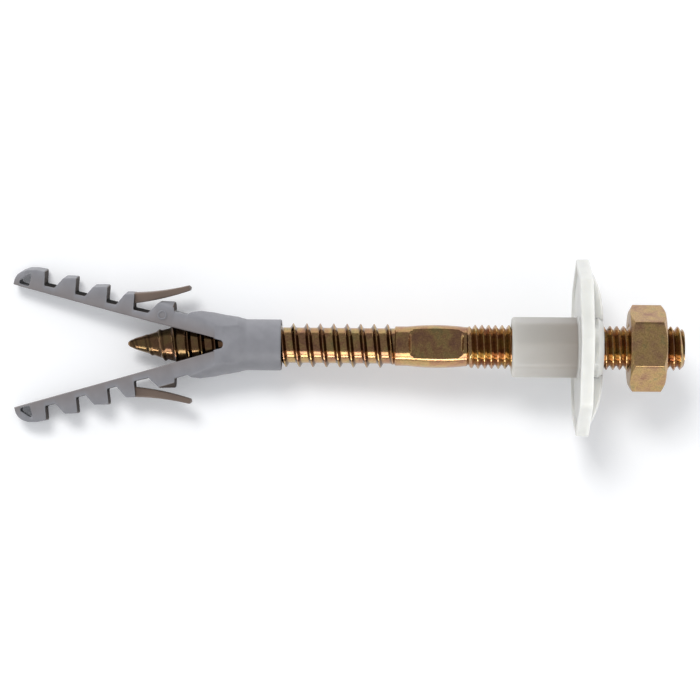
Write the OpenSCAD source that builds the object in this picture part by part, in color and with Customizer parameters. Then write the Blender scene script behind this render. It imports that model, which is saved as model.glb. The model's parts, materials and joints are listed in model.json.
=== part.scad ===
// Sanitary fixing anchor: a hanger bolt in an expansion plug, with a flanged bush and a nut.
// The part lies as it comes to rest, on both leg tips and one corner of the bush's flange.
// The bolt's axis lies in the XZ plane. The origin is on that axis, at the plug's mouth.
// In the parts' own frame the axis is X, and x grows from the plug towards the nut.

/* [Stud] */
// Crest diameter of the wood thread
wood_d = 9.85; // [8.6:0.05:10.6]
// Core diameter of the wood thread
wood_core_d = 7.9; // [6.5:0.1:8.3]
// Pitch of the wood thread
wood_pitch = 3; // [2.4:0.1:3.6]
// Length of the wood thread with its point
wood_len = 59.5; // [48:0.5:70]
// Width of the thread's ridge at the core
ridge_base_w = 1.2; // [0.8:0.1:1.6]
// Width of the thread's ridge at the crest
ridge_crest_w = 0.24; // [0.1:0.02:0.5]
// Depth of the stud's point behind the plug's mouth
stud_depth = 34.3; // [24:0.1:44]
// Length of the bullet-shaped point
point_len = 12.3; // [9:0.1:15]
// Diameter of the plain shank
shank_d = 8.8; // [8.4:0.1:9.4]
// Length of the plain shank
shank_len = 16; // [14.5:0.1:24]
// Length of each wrench flat
flat_len = 12.2; // [8:0.1:12.6]
// Size across the wrench flats
flat_af = 6.6; // [5:0.1:8]
// Diameter of the shank where the flats squeeze it out
flat_bulge_d = 9.6; // [9.4:0.05:9.8]
// Crest diameter of the machine thread
machine_d = 9.85; // [9.4:0.05:10.4]
// Pitch of the machine thread
machine_pitch = 1.5; // [1.25:0.05:2]
// Depth of the machine thread
machine_depth = 0.92; // [0.6:0.02:1.1]
// Length of the machine thread
machine_len = 48.3; // [44:0.1:60]
// Length over which the machine thread runs out at the stud's end
machine_chamfer = 0.9; // [0.3:0.1:1.4]

/* [Wall plug] */
// Wall of the collar round the stud
collar_wall = 0.65; // [0.5:0.05:1.2]
// Length of the collar to where the legs begin to swell
collar_len = 9.2; // [6:0.1:11]
// Distance from the mouth to the root of the slot
slot_root = 12.8; // [11.5:0.1:18]
// Width of the slot at its root
slot_w = 1.9; // [1.2:0.1:2.6]
// Mean angle of the legs to the axis
splay_angle = 15.45; // [13:0.05:18]
// How much further than that the leg on the -Y side splays, and how much less the other one does
splay_lean = 0.7; // [0:0.1:1.5]
// Length of a leg from the root of the slot
leg_len = 48.5; // [47.5:0.1:54]
// Height of the body and of the widest tooth over the leg's inner face
leg_height = 5.45; // [5.2:0.05:6]
// Height of the outer teeth over the leg's inner face
tooth_height = 5.1; // [4.6:0.05:5.2]
// Half width of a leg along its outer teeth
leg_half_w = 3; // [2.7:0.1:3.4]
// Half width of a leg at its widest tooth
heel_half_w = 3.8; // [3.6:0.1:4.2]
// Half width of a leg at its root
root_half_w = 5.2; // [4.8:0.1:5.6]
// Thickness left under the notches between the outer teeth
notch_floor = 1.6; // [1.3:0.1:2]
// Thickness left under the notch behind the widest tooth
heel_floor = 3.4; // [2.8:0.1:3.8]
// Radius of the pilot groove along the inside of the legs
pilot_r = 2.5; // [2.2:0.1:2.7]
// Length of a locking tongue
barb_len = 12.5; // [10:0.1:13.5]
// Thickness of a tongue at its root
barb_root_t = 2.3; // [1.8:0.1:2.6]
// Thickness of a tongue at its tip
barb_tip_t = 1.2; // [0.8:0.1:1.6]
// Width of a tongue
barb_w = 3.4; // [2.4:0.1:4.4]

/* [Flange bush] */
// Bore of the bush
bush_bore_d = 10.4; // [10.2:0.1:11]
// Size of the sleeve across its corners
sleeve_ac = 13.9; // [13.2:0.1:16]
// Rounding of the sleeve's leading edge
sleeve_round = 0.7; // [0.3:0.1:1]
// Distance from the shank's end to the sleeve's leading edge
sleeve_gap = 10; // [8:0.1:13]
// Length of the sleeve up to the flange's front face
sleeve_len = 14.4; // [10:0.1:18]
// Size of the octagonal flange across its corners
flange_ac = 40; // [32:0.5:48]
// Thickness of the flange at its rim
flange_t = 2.9; // [2.2:0.1:4]
// Thickness of the rim's wall round the dished front
rim_wall = 1.6; // [1:0.1:3]
// Depth of the dish in the flange's front
dish_depth = 0.5; // [0.6:0.1:1.8]
// Size of the hexagonal hub across its flats
hub_af = 13; // [12.4:0.1:14.5]
// Length of the hub behind the flange
hub_len = 3; // [2:0.1:4]
// Length of the cone on the hub's end
hub_chamfer = 2.2; // [0.5:0.1:2.8]
// Radial depth of that cone
hub_chamfer_r = 1.5; // [0.4:0.1:1.7]
// Thickness of each gusset wing
wing_t = 3.2; // [1.6:0.1:5]
// Reach of each wing from the axis
wing_reach = 17.6; // [12:0.1:18.2]

/* [Nut] */
// Size of the nut across its flats
nut_af = 17; // [15:0.5:19]
// Thickness of the nut
nut_t = 8; // [5:0.1:10]
// Gap between the hub's end and the nut
nut_gap = 5.8; // [0.4:0.1:8]
// Angle by which the nut's flats are turned about the axis
nut_turn = 5.6; // [0:0.2:30]

/* [Fits] */
// Clearance between the wood thread's crest and the collar's bore, per side
plug_clear = 0.12; // [0.05:0.01:0.2]
// Clearance between the machine thread and the nut's bore, per side
nut_clear = 0.075; // [0.03:0.005:0.1]

/* [Hidden] */
$fn = 96;
// How far one piece of a union reaches into the next, and a cutter past the face it opens
bite = 0.5;
// Longer than any cut needs to be
far = 80;

// Stud
wood_r = wood_d / 2;
core_r = wood_core_d / 2;
shank_r = shank_d / 2;
machine_r = machine_d / 2;
point_x = -stud_depth;
wood_end = point_x + wood_len;
shank_end = wood_end + shank_len;
stud_end = shank_end + machine_len;
// Plain shank left between the flats and the machine thread
flat_margin = 0.7;
flat_mid = shank_end - flat_len / 2 - flat_margin;
// Radius at the ends of the flats, where the cutter runs out to the shank
flat_run = 1.4;
// How far the swelling runs past the flats
bulge_over = 0.3;
// The point's radius, as shares of the core's radius at shares of the point's length
point_curve = [[0, 0.24], [0.04, 0.34], [0.13, 0.42], [0.3, 0.55], [0.5, 0.68], [0.65, 0.78], [1, 1]];
// Steps in one turn of a thread
steps = 24;
// Rings that close the point, as shares of its length
point_rings = [0.01, 0.05, 0.1];
// Where the ridge rises from the point and where it has its full height, as shares of the point
rise_start = 0.22;
rise_end = 1.15;
wood_run_out = 1.2;
wood_helix_start = point_x + 0.125 * point_len + ridge_base_w / 2;
// The machine thread's ridge: a V of 60 degrees, cut flat by an eighth of the pitch at its crest
machine_core_r = machine_r - machine_depth;
machine_crest_w = machine_pitch / 8;
machine_base_w = machine_pitch * 7 / 8;

// Plug
plug_bore_r = wood_r + plug_clear;
collar_r = plug_bore_r + collar_wall;
leg_r = leg_height + slot_w / 2;
collar_chamfer = 0.3;
// How far the collar's cone runs on between the legs
root_reach = 3;
// How much narrower a leg is where it starts inside the collar
root_taper = 1.2;
// Teeth counted from the tip: place of the steep face along the leg, length of the crest,
// length of the slope to the next notch, and drop of the crest towards the tip
teeth = [
    [leg_len - 6.5, 0, 0, 0.4],
    [leg_len - 13.5, 3, 1.4, 0.7],
    [leg_len - 20.65, 3.3, 1.2, 0.9],
    [leg_len - 26.8, 2.2, 1.3, 0.6],
    [12.7, 3.4, 1.7, 0.9]
];
// Lean of each steep face
face_lean = 0.9;
nose_height = 4.05;
nose_len = 2.2;
nose_tip_height = 2.5;
// Length of the nose that the pilot groove stops short of
nose_solid = 5;
// Where the notch behind the widest tooth starts and ends
heel_notch = [9.3, 12];
// Where the body falls to that notch, and by how much
shoulder_rise = [[8.5, 0.75], [6.9, 0.2], [4, 0]];
// Corners of the eye through the nose, and the rounding outside them
nose_eye = [[leg_len - 1.65, 1], [leg_len - 2.95, 2.45], [leg_len - 2.95, 0.95]];
nose_eye_r = 0.4;
// Ring mark on the legs' side flats
mark_r = 1.05;
mark_h = 0.2;
mark_w = 0.3;
mark_at = [14.6, 2.1];
barb_steps = 8;
// Slope of the tongue to the leg at its root and at its tip
barb_slope = [19, 27];

// Bush
sleeve_start = shank_end + sleeve_gap;
sleeve_r = sleeve_ac / 2;
flange_r = flange_ac / 2;
flange_front = sleeve_start + sleeve_len;
flange_back = flange_front + flange_t;
hub_r = hub_af / 2 / cos(30);
hub_end = flange_back + hub_len;
octagon_turn = -5;
wing_steps = 8;
round_steps = 4;
// How far a turned cutter stands outside the corners that it rounds
proud = 0.1;
hub_cone_r = hub_r + proud;
hub_cone_r_share = (hub_chamfer_r + proud) / hub_chamfer_r;

// Nut
nut_r = nut_af / 2 / cos(30);
nut_bore_r = machine_r + nut_clear;
nut_start = hub_end + nut_gap;
nut_end = nut_start + nut_t;
// Slope of the nut's crowned corners, and the size of the round faces inside them
crown_angle = 30;
crown_r = nut_af / 2 * 0.98;
// How far the mouth of its bore is wider, per side
nut_mouth = 0.6;

// Rest: two leg tips and the flange's lowest corner touch the floor
tip_x = -slot_root - leg_len * cos(splay_angle);
flange_low = flange_r * cos(octagon_turn);
rest_tilt = atan((flange_low - leg_half_w) / (flange_front - tip_x));

// Lays the parts' own frame on the floor
module laid() rotate([0, -rest_tilt, 0]) children();

// Carries a drawing of the YZ plane along X from x0 to x1
module along_x(x0, x1) translate([x0, 0, 0]) rotate([90, 0, 90]) linear_extrude(x1 - x0) children();

// Turns a drawing of [radius, x] about the X axis
module turned() rotate([0, 90, 0]) rotate_extrude() children();

module round_bar(x0, x1, r) turned() polygon([[0, x0], [r, x0], [r, x1], [0, x1]]);

// ---------------------------------------------------------------- stud

function clamp01(v) = min(1, max(0, v));
function spin(x, r, a) = [x, r * cos(a), r * sin(a)];

// A right-hand thread whose ridge and core are one closed skin.
// lead holds the x of the rings before the helix; core and ridge give radius and height at an x.
module thread(pitch, base_w, crest_w, tip_x, lead, helix_start, end_x, core, ridge) {
    helix_len = end_x - bite - base_w / 2 - helix_start;
    rows = floor(helix_len / pitch * steps);
    function ring(x) = [for (i = [0 : steps - 1]) spin(x, core(x), 360 * i / steps)];
    // One row of the ridge's section: foot, two crests and foot, a step further round the helix
    function row(i) = let (x = helix_start + pitch * i / steps, a = 360 * i / steps)
        [
            for (p = [[-base_w, 0], [-crest_w, 1], [crest_w, 1], [base_w, 0]])
                let (px = x + p[0] / 2) spin(px, core(px) + p[1] * ridge(x), a)
        ];
    leads = len(lead);
    row0 = 1 + leads * steps;
    ring_end = row0 + 4 * (rows + 1);
    hub = ring_end + steps;
    points = concat(
        [[tip_x, 0, 0]],
        [for (x = lead) each ring(x)],
        [for (i = [0 : rows]) each row(i)],
        ring(end_x),
        [[end_x, 0, 0]]
    );
    // Number of a point: k-th point of row i, and i-th point of the closing rings
    function at(i, k) = row0 + 4 * i + k;
    function lead_at(j, i) = 1 + j * steps + i % steps;
    // The far ring's points are counted from the angle of the last row
    function end_at(i) = ring_end + i % steps;
    tip = [for (i = [0 : steps - 1]) [0, lead_at(0, i), lead_at(0, i + 1)]];
    nose = [
        for (j = [0 : leads - 2], i = [0 : steps - 1])
            [lead_at(j, i), lead_at(j + 1, i), lead_at(j + 1, i + 1), lead_at(j, i + 1)]
    ];
    first = [
        for (i = [0 : steps - 2])
            [lead_at(leads - 1, i), at(i, 0), at(i + 1, 0), lead_at(leads - 1, i + 1)]
    ];
    first_seam = [
        lead_at(leads - 1, steps - 1), at(steps - 1, 0), at(steps, 0), at(0, 3), at(0, 2), at(0, 1),
        at(0, 0), lead_at(leads - 1, 0)
    ];
    flanks = [
        for (i = [0 : rows - 1], k = [0 : 2]) [at(i, k), at(i, k + 1), at(i + 1, k + 1), at(i + 1, k)]
    ];
    valleys = [
        for (i = [0 : rows - steps - 1])
            [at(i, 3), at(i + steps, 0), at(i + steps + 1, 0), at(i + 1, 3)]
    ];
    last = [
        for (i = [rows - steps + 1 : rows - 1])
            [at(i, 3), end_at(i), end_at(i + 1), at(i + 1, 3)]
    ];
    last_seam = [
        at(rows - steps + 1, 3), at(rows - steps, 3), at(rows, 0), at(rows, 1), at(rows, 2),
        at(rows, 3), end_at(rows), end_at(rows + 1)
    ];
    cap = [for (i = [0 : steps - 1]) [hub, end_at(i + 1), end_at(i)]];
    faces = concat(tip, nose, first, [first_seam], flanks, valleys, last, [last_seam], cap);
    polyhedron(points, faces, convexity = 8);
}

// The coarse thread, from the bullet-shaped point to inside the shank
module wood_thread() {
    thread(
        wood_pitch, ridge_base_w, ridge_crest_w, point_x,
        [for (share = point_rings) point_x + share * point_len], wood_helix_start, wood_end + bite,
        function(x) core_r * lookup((x - point_x) / point_len, point_curve),
        function(x) (wood_r - core_r)
            * clamp01(((x - point_x) / point_len - rise_start) / (rise_end - rise_start))
            * clamp01((wood_end - x) / wood_run_out)
    );
}

// The fine thread, from inside the shank to the stud's free end
module machine_thread() {
    start = shank_end + machine_base_w / 2;
    thread(
        machine_pitch, machine_base_w, machine_crest_w, shank_end - 2 * bite,
        [shank_end - 2 * bite, shank_end - bite], start, stud_end,
        function(x) machine_core_r,
        function(x) machine_depth
            * clamp01((x - shank_end) / machine_pitch)
            * clamp01((stud_end - bite - x) / machine_chamfer)
    );
}

// Cuts one wrench flat, with ends that run out in an arc
module flat_cutter() {
    half = flat_len / 2 - flat_run;
    translate([flat_mid, 0, flat_af / 2]) rotate([90, 0, 0]) linear_extrude(far, center = true) {
        translate([-half, 0]) square([2 * half, far]);
        for (s = [-1, 1]) translate([s * half, flat_run]) circle(flat_run);
        translate([-half - flat_run, flat_run]) square([2 * half + 2 * flat_run, far]);
    }
}

// The squeezed stretch of the shank, an arc in section
module shank_bulge() {
    half = flat_len / 2 + bulge_over;
    rise = flat_bulge_d / 2 - shank_r;
    arc_r = (half * half + rise * rise) / (2 * rise);
    turned() intersection() {
        translate([flat_bulge_d / 2 - arc_r, flat_mid]) circle(arc_r, $fn = 360);
        translate([0, flat_mid - half]) square([far, 2 * half]);
    }
}

module stud() {
    color("#b98a4a") laid() {
        wood_thread();
        difference() {
            union() {
                round_bar(wood_end, shank_end + bite, shank_r);
                shank_bulge();
            }
            flat_cutter();
            mirror([0, 0, 1]) flat_cutter();
        }
        machine_thread();
    }
}

// ---------------------------------------------------------------- expansion plug

// Angle of the leg on the +Y side, which is side 0, and of the other one
function splay(side) = splay_angle + (2 * side - 1) * splay_lean;

// Outline of one tooth and the notch on its tip side
function tooth_line(t) = [
    [-(t[0] - face_lean), notch_floor],
    [-t[0], tooth_height],
    [-(t[0] + t[1]), tooth_height - t[3]],
    [-(t[0] + t[1] + t[2]), notch_floor]
];

// Side view of a leg: x runs back from the root of the slot, y is the height over the inner face
module leg_outline() {
    heel = teeth[4];
    polygon(concat(
        [[slot_root, 0], [slot_root, leg_height]],
        [[-shoulder_rise[2][0], leg_height], [-shoulder_rise[1][0], leg_height - shoulder_rise[1][1]]],
        [[-shoulder_rise[0][0], leg_height - shoulder_rise[0][1]]],
        [[-heel_notch[0], heel_floor], [-heel_notch[1], heel_floor]],
        [[-heel[0], leg_height], [-(heel[0] + heel[1]), leg_height - heel[3]]],
        [[-(heel[0] + heel[1] + heel[2]), notch_floor]],
        tooth_line(teeth[3]),
        tooth_line(teeth[2]),
        tooth_line(teeth[1]),
        [[-(teeth[0][0] - face_lean), notch_floor], [-teeth[0][0], tooth_height - teeth[0][3]]],
        [[-(leg_len - nose_len), nose_height], [-leg_len, nose_tip_height], [-leg_len, 0]]
    ));
}

// Plan view of a leg: it grows out of the collar, then narrows to the outer teeth
module leg_plan() {
    stations = [
        [slot_root - collar_len + 2, root_half_w - root_taper],
        [0, root_half_w],
        [-slot_w, root_half_w],
        [-heel_notch[1], heel_half_w],
        [-(teeth[4][0] + teeth[4][1]), heel_half_w],
        [-teeth[3][0], leg_half_w],
        [-leg_len, leg_half_w]
    ];
    last = len(stations) - 1;
    polygon(concat(stations, [for (i = [last : -1 : 0]) [stations[i][0], -stations[i][1]]]));
}

// The tongue's middle line: its slope grows evenly from root to tip
function barb_point(s) = let (a = barb_slope[0] + (barb_slope[1] - barb_slope[0]) * s / 2)
    [-teeth[3][0] + s * barb_len * cos(a), tooth_height - barb_root_t / 2 + s * barb_len * sin(a)];
function barb_side(s, side) = let (
        a = barb_slope[0] + (barb_slope[1] - barb_slope[0]) * s,
        half = side * (barb_root_t + (barb_tip_t - barb_root_t) * s) / 2
    ) barb_point(s) + half * [-sin(a), cos(a)];

module barb() {
    foot = [-teeth[3][0] - 2 * bite, tooth_height - barb_root_t];
    linear_extrude(barb_w, center = true) polygon(concat(
        [foot, foot + [0, barb_root_t - bite / 2]],
        [for (i = [0 : barb_steps]) barb_side(i / barb_steps, 1)],
        [for (i = [barb_steps : -1 : 0]) barb_side(i / barb_steps, -1)]
    ));
}

// Half-round bar cut to the teeth's outline, with the pilot groove, the mark and the tongue
module leg() {
    difference() {
        intersection() {
            linear_extrude(far, center = true) leg_outline();
            rotate([90, 0, 0]) linear_extrude(far, center = true) leg_plan();
            translate([0, -slot_w / 2, 0]) round_bar(-leg_len - bite, slot_root, leg_r);
        }
        translate([0, -slot_w / 2, 0]) round_bar(-leg_len + nose_solid, 0, pilot_r);
        mirror([1, 0, 0]) linear_extrude(far, center = true) offset(r = nose_eye_r, $fn = 24) polygon(nose_eye);
    }
    for (s = [-1, 1])
        translate([-mark_at[0], mark_at[1], s * (heel_half_w - mark_h)])
            mirror([0, 0, s < 0 ? 1 : 0])
                difference() {
                    cylinder(h = 2 * mark_h, r = mark_r);
                    translate([0, 0, mark_h]) cylinder(h = far, r = mark_r - mark_w);
                }
    barb();
}

// The gap between the legs, with a round root
module slot_cutter() {
    linear_extrude(far, center = true) {
        translate([-slot_root - slot_w / 2, 0]) circle(slot_w / 2);
        polygon([
            [-slot_root - slot_w / 2, -slot_w / 2], [-slot_root - slot_w / 2, slot_w / 2],
            [-slot_root - leg_len, slot_w / 2 + (leg_len - slot_w / 2) * tan(splay(0))],
            [-slot_root - leg_len, -slot_w / 2 - (leg_len - slot_w / 2) * tan(splay(1))]
        ]);
    }
}

module expansion_plug() {
    color("#9a9a9e") laid() difference() {
        union() {
            turned() polygon([
                [0, -slot_root - root_reach], [root_half_w + proud, -slot_root - root_reach],
                [collar_r, -collar_len], [collar_r, -collar_chamfer],
                [collar_r - collar_chamfer, 0], [0, 0]
            ]);
            intersection() {
                for (side = [0, 1]) mirror([0, side, 0])
                    translate([-slot_root, slot_w / 2, 0]) rotate([0, 0, -splay(side)]) leg();
                translate([-far - collar_len, -far / 2, -far / 2]) cube(far);
            }
        }
        slot_cutter();
        round_bar(point_x, bite, plug_bore_r);
    }
}

// ---------------------------------------------------------------- flange bush

module octagon(r) rotate(octagon_turn) circle(r, $fn = 8);

// The sleeve's leading edge, a quarter arc that ends outside its corners
function sleeve_round_point(a) = [
    sleeve_r + proud - sleeve_round * (1 - sin(a)),
    sleeve_start + sleeve_round * (1 - cos(a))
];

// One gusset wing, a quarter wave in side view
module wing() {
    foot_y = hub_r - hub_chamfer_r;
    linear_extrude(wing_t, center = true) polygon(concat(
        [[flange_back - bite, foot_y], [flange_back + hub_len, foot_y]],
        [
            for (i = [1 : wing_steps]) let (t = i / wing_steps)
                [flange_back + hub_len * cos(90 * t), foot_y + (wing_reach - foot_y) * t]
        ],
        [[flange_back - bite, wing_reach]]
    ));
}

module flange_bush() {
    color("#e4e4dc") laid() difference() {
        union() {
            intersection() {
                along_x(sleeve_start, flange_back) octagon(sleeve_r);
                turned() polygon(concat(
                    [[0, far], [0, sleeve_start]],
                    [for (i = [0 : round_steps]) sleeve_round_point(90 * i / round_steps)],
                    [[sleeve_r + proud, far]]
                ));
            }
            difference() {
                along_x(flange_front, flange_back) octagon(flange_r);
                along_x(flange_front - bite, flange_front + dish_depth) octagon(flange_r - rim_wall);
            }
            intersection() {
                along_x(flange_back - bite, hub_end) circle(hub_r, $fn = 6);
                turned() polygon([
                    [0, flange_back - 2 * bite], [hub_cone_r, flange_back - 2 * bite],
                    [hub_cone_r, hub_end - hub_chamfer * hub_cone_r_share],
                    [hub_r - hub_chamfer_r, hub_end], [0, hub_end]
                ]);
            }
            wing();
            mirror([0, 1, 0]) wing();
        }
        round_bar(sleeve_start - bite, hub_end + bite, bush_bore_d / 2);
    }
}

// ---------------------------------------------------------------- nut

// The cone that opens the nut's bore at one end, as [radius, x] seen from that end
module bore_mouth() turned() polygon([
    [0, -bite], [nut_bore_r + nut_mouth + bite, -bite], [nut_bore_r, nut_mouth], [0, nut_mouth]
]);

module hex_nut() {
    crown_drop = (nut_r + proud - crown_r) * tan(crown_angle);
    color("#b5893f") laid() difference() {
        intersection() {
            along_x(nut_start, nut_end) rotate(-nut_turn) circle(nut_r, $fn = 6);
            turned() polygon([
                [0, nut_start], [crown_r, nut_start], [nut_r + proud, nut_start + crown_drop],
                [nut_r + proud, nut_end - crown_drop], [crown_r, nut_end], [0, nut_end]
            ]);
        }
        round_bar(nut_start - bite, nut_end + bite, nut_bore_r);
        translate([nut_start, 0, 0]) bore_mouth();
        translate([nut_end, 0, 0]) mirror([1, 0, 0]) bore_mouth();
    }
}

expansion_plug();
stud();
flange_bush();
hex_nut();
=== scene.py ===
"""Looks of a sanitary fixing anchor: a hanger bolt in a toothed plug, a flanged bush and a nut.

Lengths are millimetres in the parts' own frame, whose X is the stud's axis and grows from the plug
to the nut, with the origin at the plug's mouth. laid() turns them into the row's frame, in metres.
"""

import json
import math

import bmesh
import bpy
import numpy as np
from mathutils import Matrix, Vector

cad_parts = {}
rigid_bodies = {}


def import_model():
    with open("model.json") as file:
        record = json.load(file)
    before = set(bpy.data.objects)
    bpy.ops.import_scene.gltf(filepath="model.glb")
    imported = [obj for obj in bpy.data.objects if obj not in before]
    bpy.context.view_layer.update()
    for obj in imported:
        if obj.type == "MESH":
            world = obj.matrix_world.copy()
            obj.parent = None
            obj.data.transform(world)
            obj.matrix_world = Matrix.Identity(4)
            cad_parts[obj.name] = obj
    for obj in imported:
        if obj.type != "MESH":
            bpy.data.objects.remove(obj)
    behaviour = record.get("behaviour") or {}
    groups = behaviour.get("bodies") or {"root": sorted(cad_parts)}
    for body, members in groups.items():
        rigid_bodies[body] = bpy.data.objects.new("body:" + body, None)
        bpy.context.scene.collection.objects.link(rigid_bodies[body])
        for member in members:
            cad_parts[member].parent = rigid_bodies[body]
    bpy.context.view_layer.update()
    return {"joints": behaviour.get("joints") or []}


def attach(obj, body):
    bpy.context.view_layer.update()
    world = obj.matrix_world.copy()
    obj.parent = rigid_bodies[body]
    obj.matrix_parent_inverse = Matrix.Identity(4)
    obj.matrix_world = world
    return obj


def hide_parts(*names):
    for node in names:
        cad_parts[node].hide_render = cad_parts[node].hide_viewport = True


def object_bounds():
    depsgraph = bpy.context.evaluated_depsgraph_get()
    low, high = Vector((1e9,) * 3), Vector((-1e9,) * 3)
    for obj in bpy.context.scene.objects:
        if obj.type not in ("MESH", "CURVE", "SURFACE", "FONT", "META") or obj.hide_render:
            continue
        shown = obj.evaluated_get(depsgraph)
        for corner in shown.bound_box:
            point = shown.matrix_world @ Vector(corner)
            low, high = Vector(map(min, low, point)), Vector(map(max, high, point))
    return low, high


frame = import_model()

# ---------------------------------------------------------------- frame and meshes

MM = 0.001
WELD = 1e-7
# How far the middle of a round edge lies inside both of its faces, as a share of its radius
EDGE_MIDDLE = 0.3
drive = frame["joints"][0]["axis"]
TILT = math.atan2(-drive[2], -drive[0])


def laid(points):
    """Turns mm points by the rest tilt: x' = x cos t - z sin t and z' = x sin t + z cos t, in metres."""
    x, y, z = np.moveaxis(np.asarray(points, dtype=float), -1, 0)
    c, s = math.cos(TILT), math.sin(TILT)
    return np.stack([x * c - z * s, y, x * s + z * c], axis=-1) * MM


def sheet_faces(rows, columns, first):
    """Quads between neighbouring points of a sheet, whose first point has the number first."""
    r, c = np.meshgrid(np.arange(rows - 1), np.arange(columns - 1), indexing="ij")
    corner = r * columns + c
    quads = [corner, corner + 1, corner + columns + 1, corner + columns]
    return np.stack(quads, axis=-1).reshape(-1, 4) + first


def skin_mesh(name, sheets, crease):
    """One closed skin from sheets, each an array of rows x columns x 3 with maybe a tone per point.

    Points that meet are welded, so seams and poles close, and edges over the crease angle stay crisp.
    """
    points, faces, tones, count = [], [], [], 0
    for sheet in sheets:
        grid, tone = sheet if isinstance(sheet, tuple) else (sheet, np.zeros(sheet.shape[:2]))
        rows, columns = grid.shape[:2]
        points.append(laid(grid).reshape(-1, 3))
        faces.append(sheet_faces(rows, columns, count))
        tones.append(np.broadcast_to(tone, grid.shape[:2]).ravel())
        count += rows * columns
    mesh = bpy.data.meshes.new(name)
    mesh.from_pydata(np.concatenate(points), [], np.concatenate(faces))
    tone_layer = mesh.attributes.new("tone", "FLOAT", "POINT")
    tone_layer.data.foreach_set("value", np.concatenate(tones).astype(np.float32))
    skin = bmesh.new()
    skin.from_mesh(mesh)
    bmesh.ops.remove_doubles(skin, verts=skin.verts, dist=WELD)
    bmesh.ops.recalc_face_normals(skin, faces=skin.faces)
    skin.to_mesh(mesh)
    skin.free()
    mesh.shade_smooth()
    mesh.set_sharp_from_angle(angle=math.radians(crease))
    return mesh


def piece(name, sheets, material, body, crease=32):
    """An object from sheets that rides on a body and takes the given finish."""
    mesh = skin_mesh(name, sheets, crease)
    mesh.materials.append(material)
    made = bpy.data.objects.new(name, mesh)
    bpy.context.scene.collection.objects.link(made)
    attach(made, body)
    return made


def ramp(value, start, end):
    """0 up to start, 1 from end on, and a straight rise between them."""
    return np.clip((value - start) / (end - start), 0, 1)


def fall(value, start, end):
    """1 up to start, 0 from end on, and a straight drop between them."""
    return ramp(-value, -end, -start)


def spun(x, r, angle):
    """Points at x along the axis and r from it, at an angle counted from +Y towards +Z."""
    x, r, angle = np.broadcast_arrays(x, r, angle)
    return np.stack([x, r * np.cos(angle), r * np.sin(angle)], axis=-1)


def capped(loop):
    """A tube, given as rows of closed sections, with each of its ends drawn together to a middle point."""
    ends = [np.broadcast_to(loop[i].mean(axis=0), (1, *loop.shape[1:])) for i in (0, -1)]
    return np.concatenate([ends[0], loop, ends[1]])


# ---------------------------------------------------------------- materials


def linear(code):
    """The linear colour of an sRGB hex code, with alpha 1."""
    parts = np.array([int(code[i : i + 2], 16) / 255 for i in (1, 3, 5)])
    flat = np.where(parts <= 0.04045, parts / 12.92, ((parts + 0.055) / 1.055) ** 2.4)
    return (*flat.tolist(), 1.0)


def add_node(tree, kind, inputs=None, **settings):
    """Adds one node with its settings. An input gets a value, or a link from another node's output."""
    made = tree.nodes.new(kind)
    for name, value in settings.items():
        setattr(made, name, value)
    for name, value in (inputs or {}).items():
        if isinstance(value, bpy.types.NodeSocket):
            tree.links.new(value, made.inputs[name])
        else:
            made.inputs[name].default_value = value
    return made


def new_material(name):
    """A material with its tree and its surface shader."""
    made = bpy.data.materials.new(name)
    made.use_nodes = True
    return made, made.node_tree, made.node_tree.nodes["Principled BSDF"]


def colour_steps(tree, factor, steps):
    """A colour ramp through (place, hex) steps, driven by a node's output."""
    band = add_node(tree, "ShaderNodeValToRGB", {"Fac": factor})
    elements = band.color_ramp.elements
    while len(elements) < len(steps):
        elements.new(0.5)
    for element, (place, code) in zip(elements, steps):
        element.position = place
        element.color = linear(code)
    return band.outputs["Color"]


def moulded_grey_polyamide():
    """Nylon from a spark-eroded tool: satin grey, faintly mottled where the melt met the cold wall."""
    mottle_mm = 2.4
    # The real eroded grain is nearer 0.1 mm, too fine to show, so it is drawn coarser
    grain_mm = 0.35
    made, tree, shader = new_material("moulded_grey_polyamide")
    place = add_node(tree, "ShaderNodeTexCoord").outputs["Object"]
    mottle = add_node(
        tree,
        "ShaderNodeTexNoise",
        {"Vector": place, "Scale": 1 / (mottle_mm * MM), "Detail": 3.0},
    )
    grain = add_node(
        tree,
        "ShaderNodeTexNoise",
        {"Vector": place, "Scale": 1 / (grain_mm * MM), "Detail": 2.0},
    )
    body = colour_steps(tree, mottle.outputs["Fac"], [(0.3, "#6c6c70"), (0.7, "#737377")])
    tone = add_node(tree, "ShaderNodeAttribute", attribute_name="tone").outputs["Fac"]
    # The tone attribute is 0.5 on the tongues, which are browner, and up to 1 on the steep tooth faces, the
    # notch floors and the lower leg's heel, where it paints shade: dark and matt
    browner = add_node(tree, "ShaderNodeMapRange", {"Value": tone, "From Max": 0.5}).outputs["Result"]
    shade_share = add_node(tree, "ShaderNodeMapRange", {"Value": tone, "From Min": 0.5}).outputs["Result"]
    brown = add_node(
        tree,
        "ShaderNodeMix",
        {"Factor": browner, "A": body, "B": linear("#5f5148")},
        data_type="RGBA",
    )
    # The near-black colour is painted shade
    shaded_nylon = add_node(
        tree,
        "ShaderNodeMix",
        {"Factor": shade_share, "A": brown.outputs["Result"], "B": linear("#1a1614")},
        data_type="RGBA",
    )
    tree.links.new(shaded_nylon.outputs["Result"], shader.inputs["Base Color"])
    bump = add_node(
        tree,
        "ShaderNodeBump",
        {"Height": grain.outputs["Fac"], "Strength": 0.12, "Distance": 0.05 * MM},
    )
    tree.links.new(bump.outputs["Normal"], shader.inputs["Normal"])
    shader.inputs["IOR"].default_value = 1.53
    shader.inputs["Specular IOR Level"].default_value = 0.45
    rough = add_node(
        tree,
        "ShaderNodeMapRange",
        {"Value": tone, "From Min": 0.5, "To Min": 0.46, "To Max": 1.0},
    )
    tree.links.new(rough.outputs["Result"], shader.inputs["Roughness"])
    return made


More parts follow.
